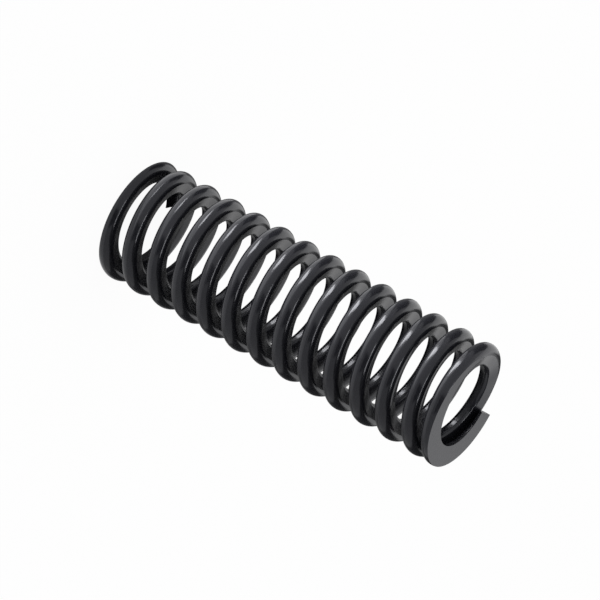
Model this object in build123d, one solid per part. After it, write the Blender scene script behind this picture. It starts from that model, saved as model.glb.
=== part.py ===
from build123d import *
import os
from math import cos, sin, tau

# Die spring: a right-hand compression spring coiled from flat-sided wire whose outer side
# is rounded. It stands on its end with its axis on Z and its bottom seat on Z = 0. The last
# turn at each end closes down onto its neighbour, thins to a tip and is ground flat.

# Driving dimensions, in millimetres, turns and degrees.
OUTER_DIAMETER = 16.0
FREE_LENGTH = 50.0

WIRE_WIDTH = 2.80               # radial, from the bore to the crown of the outer side
SHOULDER_THICKNESS = 2.05       # axial, where the flat sides meet the rounded outer side
BORE_THICKNESS = 1.22           # axial, at the bore side, where the wire is thinner
CROWN_DEPTH = 1.15              # radial depth of the rounded outer side
BORE_CORNER_RADIUS = 0.52

TOTAL_TURNS = 13.92
TOP_TIP_ANGLE = 4.0             # about Z, from +X to the cut face of the top tip

TOP_TIP_THICKNESS = 0.83        # left at the tip after grinding
TOP_TIP_GAP = 0.06              # axial, from the tip to the turn it closes onto
TOP_CLOSED_TURNS = 0.78         # laid nearly flat, counted from the tip
TOP_CLOSING_TURNS = 0.92        # counted from the tip to where the full pitch starts

BOTTOM_TIP_THICKNESS = 0.45
BOTTOM_TIP_GAP = 0.60
BOTTOM_CLOSED_TURNS = 0.50
BOTTOM_CLOSING_TURNS = 0.72

POINTS_PER_TURN = 24            # of the centreline

# Worked out from the driving dimensions.
MEAN_RADIUS = (OUTER_DIAMETER - WIRE_WIDTH) / 2
BOTTOM_TIP_ANGLE = TOP_TIP_ANGLE - 360 * TOTAL_TURNS
BOTTOM_TIP_Z = BOTTOM_TIP_THICKNESS - SHOULDER_THICKNESS / 2
TOP_TIP_Z = FREE_LENGTH - TOP_TIP_THICKNESS + SHOULDER_THICKNESS / 2

# The first turn from each tip rises by the wire and the gap that the tip leaves.
BOTTOM_TURN_RISE = SHOULDER_THICKNESS + BOTTOM_TIP_GAP
TOP_TURN_RISE = SHOULDER_THICKNESS + TOP_TIP_GAP
ACTIVE_PITCH = (TOP_TIP_Z - BOTTOM_TIP_Z - BOTTOM_TURN_RISE - TOP_TURN_RISE) / (TOTAL_TURNS - 2)


def end_rise(turns, closed, closing, turn_rise):
    """How far the centreline has risen at this many turns from a tip. The pitch is low up to
    closed, grows along a smooth S curve, and is the active pitch from closing on."""
    s = min(max((turns - closed) / (closing - closed), 0), 1)
    at_active_pitch = (closing - closed) * (s**3 - s**4 / 2) + max(turns - closing, 0)
    low_turns = (closed + closing) / 2
    low_pitch = (turn_rise - (1 - low_turns) * ACTIVE_PITCH) / low_turns
    return (turns - at_active_pitch) * low_pitch + at_active_pitch * ACTIVE_PITCH


def centreline_height(turns):
    """Height of the centreline at this many turns from the bottom tip."""
    if turns < TOTAL_TURNS / 2:
        rise = end_rise(turns, BOTTOM_CLOSED_TURNS, BOTTOM_CLOSING_TURNS, BOTTOM_TURN_RISE)
        return BOTTOM_TIP_Z + rise
    from_top = TOTAL_TURNS - turns
    return TOP_TIP_Z - end_rise(from_top, TOP_CLOSED_TURNS, TOP_CLOSING_TURNS, TOP_TURN_RISE)


def centreline():
    """One smooth curve through all the turns, from the bottom tip to the top tip."""
    count = round(TOTAL_TURNS * POINTS_PER_TURN)
    points = []
    for i in range(count + 1):
        turns = TOTAL_TURNS * i / count
        angle = BOTTOM_TIP_ANGLE / 360 * tau + turns * tau
        x = MEAN_RADIUS * cos(angle)
        y = MEAN_RADIUS * sin(angle)
        points.append((x, y, centreline_height(turns)))
    return Spline(*points)


def wire_section(path):
    """The wire's section at the bottom tip: flat sides that draw together towards the bore,
    rounded bore corners, and an outer side crowned to half an ellipse."""
    bore = -WIRE_WIDTH / 2
    shoulder = WIRE_WIDTH / 2 - CROWN_DEPTH
    bore_half = BORE_THICKNESS / 2
    shoulder_half = SHOULDER_THICKNESS / 2
    outline = [
        Line((shoulder, shoulder_half), (bore, bore_half)),
        Line((bore, bore_half), (bore, -bore_half)),
        Line((bore, -bore_half), (shoulder, -shoulder_half)),
        EllipticalCenterArc(
            (shoulder, 0), CROWN_DEPTH, shoulder_half, start_angle=-90, arc_size=180
        ),
    ]
    section = make_face(outline)
    bore_corners = section.vertices().group_by(Axis.X)[0]
    section = fillet(bore_corners, BORE_CORNER_RADIUS)
    start = path @ 0
    outwards = Vector(start.X, start.Y, 0)
    return Plane(origin=start, x_dir=outwards, z_dir=-(path % 0)) * section


def spring():
    """The coiled wire, ground flat at both ends."""
    path = centreline()
    coil = sweep(wire_section(path), path, is_frenet=True)
    side = 2 * OUTER_DIAMETER
    between_seats = Pos(0, 0, FREE_LENGTH / 2) * Box(side, side, FREE_LENGTH)
    return coil & between_seats


os.makedirs("parts", exist_ok=True)
made = spring()
export_step(made, "parts/spring.step")
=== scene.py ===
from math import cos, pi, radians, sin

import bpy
from mathutils import Matrix, Vector


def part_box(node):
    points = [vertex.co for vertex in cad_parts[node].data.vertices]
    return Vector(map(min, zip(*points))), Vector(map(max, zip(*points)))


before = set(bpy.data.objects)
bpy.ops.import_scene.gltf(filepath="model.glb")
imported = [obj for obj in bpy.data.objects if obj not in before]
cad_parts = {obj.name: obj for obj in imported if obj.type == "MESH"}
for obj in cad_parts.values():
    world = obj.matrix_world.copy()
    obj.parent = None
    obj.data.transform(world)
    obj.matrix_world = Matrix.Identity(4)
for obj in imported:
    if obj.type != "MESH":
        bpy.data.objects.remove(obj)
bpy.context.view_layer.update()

# The die spring stands on its end, with its axis on Z and its bottom seat on Z = 0.
# Lengths are in metres, unless a comment says otherwise.
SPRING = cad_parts["spring"]
LOW, HIGH = (Vector(corner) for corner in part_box("spring"))
LENGTH = HIGH.z - LOW.z
RADIUS = (HIGH.x - LOW.x) / 2
TOP_CENTRE = Vector((0, 0, HIGH.z))
MIDDLE_HEIGHT = (LOW.z + HIGH.z) / 2

# Camera. It looks down on the top end, rolled so that the spring's axis slants in the picture.
CAMERA_ELEVATION = radians(24.17)
AXIS_SLANT = radians(29.73)         # of the axis in the picture, below the horizontal
CAMERA_DISTANCE = 51.29 * RADIUS    # from the top end's centre, along the line of sight
FRAME_WIDTH = 8.86 * RADIUS         # seen at that distance
TOP_CENTRE_RIGHT = 2.467 * RADIUS   # of the middle of the picture
TOP_CENTRE_DOWN = 1.585 * RADIUS
SENSOR_WIDTH = 36.0                 # mm
NEAREST_SEEN = 0.01

WHITE = (1, 1, 1, 1)

# Coating. The noise scales are in cycles per metre.
COATING_COLOUR = (0.0130, 0.0132, 0.0166, 1)
REFLECTION_TINT = (0.93, 0.94, 1.0, 1)
COATING_IOR = 1.5
CLOUD_SCALE = 350                   # of the uneven gloss
PEEL_SCALE = 2600                   # of the orange peel
GRINDING_SCALE = (9000, 500, 500)   # fine across the grinding marks, and long along them
WIRE_ROUGHNESS = 0.13
WIRE_UNEVENNESS = 0.08
SEAT_ROUGHNESS = 0.25
SEAT_UNEVENNESS = 0.06
SEAT_DEPTH = 0.00002                # from the end planes, within which the finish is ground
RELIEF_DEPTH = 0.00002
RELIEF_STRENGTH = 0.02

# The studio as the spring sees it: soft panels on a dark room. Each has its azimuth from +X,
# from and to, its elevation, from and to, in degrees, and its brightness, where white is 1.
ROOM_STRENGTH = 0.05
PANELS = (
    (-21, -1, 3, 22, 0.85),         # behind the spring, as the camera sees it
    (-21, 44, 17, 62, 1.05),
    (12, 44, -25, 22, 1.0),
    (44, 84, 24, 80, 0.65),         # to the left
    (84, 182, -5, 80, 0.62),
    (-145, -52, -30, 56, 0.50),     # to the right
    (-182, -145, -5, 13, 0.40),     # beside the camera
)
PANEL_EDGE = 4.0                    # degrees, over which a panel fades

# Floor. In reflections it shows painted light: a pale painted pool of light, bright towards the
# camera and dim at the back.
FLOOR_SIZE = 4
FLOOR_COLOUR = (0.9, 0.9, 0.9, 1)
FLOOR_GLOW_SHARE = 0.95
# The painted pool of light that reflections show on the floor, and where it gives way to the
# painted panels.
PAINTED_POOL_RADIUS = 0.12
PAINTED_POOL_EDGE = 0.01
PAINTED_POOL_BRIGHT_SIDE = radians(-165)
PAINTED_POOL_BRIGHT = 0.85
PAINTED_POOL_DIM = 0.18
DIM_BELOW = -0.3                    # cosine of the angle from the bright side
BRIGHT_ABOVE = 0.7

# The key lamp is a strip that lies on the floor beside the spring and points up, with a wider
# and dimmer halo round it. The overhead lamp gives the shadow.
KEY_SIDE = radians(124)
KEY_START = 0.033                   # from the spring's axis to the near end of the strip
KEY_LENGTH = 0.17
KEY_WIDTH = 0.026
KEY_BRIGHTNESS = 11.0
HALO_LENGTH = 0.22
HALO_WIDTH = 0.08
HALO_BRIGHTNESS = 1.0
STRIP_HEIGHT = 0.001                # above the floor
OVERHEAD_HEIGHT = 1
OVERHEAD_SIZE = 0.5
OVERHEAD_BRIGHTNESS = 6.0


def camera_axes():
    """The picture's right, down and inward directions, in the row frame."""
    tilt, slant = CAMERA_ELEVATION, AXIS_SLANT
    right = Vector((sin(tilt) * cos(slant), sin(slant), cos(tilt) * cos(slant)))
    down = Vector((sin(tilt) * sin(slant), -cos(slant), cos(tilt) * sin(slant)))
    inward = Vector((cos(tilt), 0, -sin(tilt)))
    return right, down, inward


def add_camera():
    right, down, inward = camera_axes()
    data = bpy.data.cameras.new("camera")
    data.sensor_width = SENSOR_WIDTH
    data.lens = SENSOR_WIDTH * CAMERA_DISTANCE / FRAME_WIDTH
    data.clip_start = NEAREST_SEEN
    camera = bpy.data.objects.new("camera", data)
    turn = Matrix((right, -down, -inward)).transposed().to_4x4()
    sideways = TOP_CENTRE_RIGHT * right + TOP_CENTRE_DOWN * down
    place = TOP_CENTRE - CAMERA_DISTANCE * inward - sideways
    camera.matrix_world = Matrix.Translation(place) @ turn
    bpy.context.scene.collection.objects.link(camera)
    bpy.context.scene.camera = camera


def add_lamp(name, turn, place, width, length, brightness):
    """A soft rectangular lamp that shines along its own -Z. It lights the scene and shows in
    reflections, and the camera doesn't see it."""
    data = bpy.data.lights.new(name, "AREA")
    data.shape = "RECTANGLE"
    data.size = width
    data.size_y = length
    data.energy = brightness * pi * width * length
    lamp = bpy.data.objects.new(name, data)
    lamp.visible_camera = False
    lamp.matrix_world = Matrix.Translation(place) @ turn.to_4x4()
    bpy.context.scene.collection.objects.link(lamp)


def add_lamps():
    outwards = Vector((cos(KEY_SIDE), sin(KEY_SIDE), 0))
    across = Vector((-sin(KEY_SIDE), cos(KEY_SIDE), 0))
    facing_up = Matrix((across, outwards, Vector((0, 0, -1)))).transposed()
    strip_place = (KEY_START + KEY_LENGTH / 2) * outwards + Vector((0, 0, LOW.z + STRIP_HEIGHT))
    add_lamp("key", facing_up, strip_place, KEY_WIDTH, KEY_LENGTH, KEY_BRIGHTNESS)
    add_lamp("halo", facing_up, strip_place, HALO_WIDTH, HALO_LENGTH, HALO_BRIGHTNESS)
    facing_down = Matrix.Identity(3)
    overhead_place = Vector((0, 0, OVERHEAD_HEIGHT))
    add_lamp(
        "overhead", facing_down, overhead_place, OVERHEAD_SIZE, OVERHEAD_SIZE, OVERHEAD_BRIGHTNESS
    )


class Nodes:
    """Adds shader nodes to one tree and joins them."""

    def __init__(self, tree):
        self.tree = tree
        tree.nodes.clear()

    def add(self, kind, inputs=None, **settings):
        node = self.tree.nodes.new(kind)
        for key, value in settings.items():
            setattr(node, key, value)
        for key, value in (inputs or {}).items():
            if isinstance(value, bpy.types.NodeSocket):
                self.tree.links.new(value, node.inputs[key])
            else:
                node.inputs[key].default_value = value
        return node

    def math(self, operation, *values):
        inputs = dict(enumerate(values))
        return self.add("ShaderNodeMath", inputs, operation=operation).outputs[0]

    def vector(self, operation, *values):
        inputs = dict(enumerate(values))
        return self.add("ShaderNodeVectorMath", inputs, operation=operation).outputs

    def noise(self, place, scale, detail):
        inputs = {"Vector": place, "Scale": scale, "Detail": detail}
        return self.add("ShaderNodeTexNoise", inputs).outputs[0]

    def mix(self, factor, first, second):
        """A number that runs from first to second as factor runs from 0 to 1."""
        return self.add("ShaderNodeMix", {0: factor, 2: first, 3: second}).outputs[0]

    def ramp(self, value, start, end, first, second):
        """Runs smoothly from first to second as value runs from start to end."""
        inputs = {"Value": value, "From Min": start, "From Max": end}
        inputs.update({"To Min": first, "To Max": second})
        return self.add("ShaderNodeMapRange", inputs, interpolation_type="SMOOTHSTEP").outputs[0]

    def window(self, value, low, high, edge):
        """1 where value lies from low to high, and 0 outside, with soft edges this wide."""
        centre, half = (low + high) / 2, (high - low) / 2
        away = self.math("ABSOLUTE", self.math("SUBTRACT", value, centre))
        return self.ramp(away, half - edge / 2, half + edge / 2, 1.0, 0.0)


def coating_material():
    """Black semi-gloss coating: a fine orange peel, uneven gloss, and ground seats that are
    slightly rougher, with the faint straight marks of the grinding wheel."""
    material = bpy.data.materials.new("coated_wire")
    material.use_nodes = True
    nodes = Nodes(material.node_tree)
    place = nodes.add("ShaderNodeTexCoord").outputs["Object"]
    height = nodes.add("ShaderNodeSeparateXYZ", {0: place}).outputs["Z"]
    from_middle = nodes.math("ABSOLUTE", nodes.math("SUBTRACT", height, MIDDLE_HEIGHT))
    on_seat = nodes.math("GREATER_THAN", from_middle, LENGTH / 2 - SEAT_DEPTH)

    cloud = nodes.noise(place, CLOUD_SCALE, detail=3)
    peel = nodes.noise(place, PEEL_SCALE, detail=2)
    drawn_out = nodes.add("ShaderNodeMapping", {"Vector": place, "Scale": GRINDING_SCALE})
    marks = nodes.noise(drawn_out.outputs[0], 1, detail=2)

    wire_roughness = nodes.math("MULTIPLY_ADD", cloud, WIRE_UNEVENNESS, WIRE_ROUGHNESS)
    seat_roughness = nodes.math("MULTIPLY_ADD", marks, SEAT_UNEVENNESS, SEAT_ROUGHNESS)
    relief = {"Height": nodes.mix(on_seat, peel, marks)}
    relief.update({"Strength": RELIEF_STRENGTH, "Distance": RELIEF_DEPTH})
    shader = nodes.add(
        "ShaderNodeBsdfPrincipled",
        {
            "Base Color": COATING_COLOUR,
            "Roughness": nodes.mix(on_seat, wire_roughness, seat_roughness),
            "IOR": COATING_IOR,
            "Specular Tint": REFLECTION_TINT,
            "Normal": nodes.add("ShaderNodeBump", relief).outputs[0],
        },
    )
    nodes.add("ShaderNodeOutputMaterial", {"Surface": shader.outputs[0]})
    return material


def studio_brightness(nodes, direction):
    """Brightness of the panels and the dark room, in this direction from the spring."""
    unit = nodes.vector("NORMALIZE", direction)[0]
    x, y, z = nodes.add("ShaderNodeSeparateXYZ", {0: unit}).outputs
    azimuth = nodes.math("DEGREES", nodes.math("ARCTAN2", y, x))
    elevation = nodes.math("DEGREES", nodes.math("ARCSINE", z))
    brightness = ROOM_STRENGTH
    for left, right, bottom, top, strength in PANELS:
        across = nodes.window(azimuth, left, right, PANEL_EDGE)
        up = nodes.window(elevation, bottom, top, PANEL_EDGE)
        panel = nodes.math("MULTIPLY", nodes.math("MULTIPLY", across, up), strength)
        brightness = nodes.math("MAXIMUM", brightness, panel)
    return brightness


def painted_floor_reflection(nodes, place):
    """Painted light that the floor shows in reflections at this place: a painted pool of light,
    bright towards the camera and dim at the back, and past its edge the studio's panels painted
    on."""
    radius = nodes.vector("LENGTH", place)["Value"]
    outwards = nodes.vector("NORMALIZE", place)[0]
    bright_side = (cos(PAINTED_POOL_BRIGHT_SIDE), sin(PAINTED_POOL_BRIGHT_SIDE), 0)
    facing = nodes.vector("DOT_PRODUCT", outwards, bright_side)["Value"]
    painted_pool = nodes.ramp(facing, DIM_BELOW, BRIGHT_ABOVE, PAINTED_POOL_DIM, PAINTED_POOL_BRIGHT)
    beyond = nodes.ramp(radius, PAINTED_POOL_RADIUS - PAINTED_POOL_EDGE, PAINTED_POOL_RADIUS + PAINTED_POOL_EDGE, 0.0, 1.0)
    return nodes.mix(beyond, painted_pool, studio_brightness(nodes, place))


def floor_material():
    """Pale floor that reads as white where it is seen, and still takes the spring's shadow.
    In reflections its glow is painted light: a painted pool of light and the studio's panels
    painted on.
    The glow is only for rays that see it, and the paint alone passes light on."""
    material = bpy.data.materials.new("floor")
    material.use_nodes = True
    nodes = Nodes(material.node_tree)
    path = nodes.add("ShaderNodeLightPath").outputs
    place = nodes.add("ShaderNodeTexCoord").outputs["Object"]
    # Glossy rays see painted light here: a painted pool of light and the studio's panels, painted
    # on the floor.
    brightness = nodes.mix(path["Is Glossy Ray"], 1.0, painted_floor_reflection(nodes, place))
    seen = nodes.math("MAXIMUM", path["Is Camera Ray"], path["Is Glossy Ray"])
    seen = nodes.math("MAXIMUM", seen, path["Is Transmission Ray"])
    paint = nodes.add("ShaderNodeBsdfDiffuse", {"Color": FLOOR_COLOUR}).outputs[0]
    glow = nodes.add("ShaderNodeEmission", {"Color": WHITE, "Strength": brightness}).outputs[0]
    share = nodes.math("MULTIPLY", seen, FLOOR_GLOW_SHARE)
    shown = nodes.add("ShaderNodeMixShader", {0: share, 1: paint, 2: glow}).outputs[0]
    nodes.add("ShaderNodeOutputMaterial", {"Surface": shown})
    return material


def add_floor():
    bpy.ops.mesh.primitive_plane_add(size=FLOOR_SIZE, location=(0, 0, LOW.z))
    floor = bpy.context.object
    floor.name = "floor"
    floor.data.materials.append(floor_material())


def light_world():
    """The studio's panels light the spring, and the camera sees plain white."""
    world = bpy.data.worlds.new("studio")
    bpy.context.scene.world = world
    world.use_nodes = True
    nodes = Nodes(world.node_tree)
    direction = nodes.add("ShaderNodeTexCoord").outputs["Generated"]
    path = nodes.add("ShaderNodeLightPath").outputs
    strength = nodes.mix(path["Is Camera Ray"], studio_brightness(nodes, direction), 1.0)
    sky = nodes.add("ShaderNodeBackground", {"Color": WHITE, "Strength": strength})
    nodes.add("ShaderNodeOutputWorld", {"Surface": sky.outputs[0]})


coating = coating_material()
for slot in SPRING.material_slots:
    slot.material = coating

add_floor()
light_world()
add_lamps()
add_camera()
bpy.context.scene.view_settings.view_transform = "Standard"
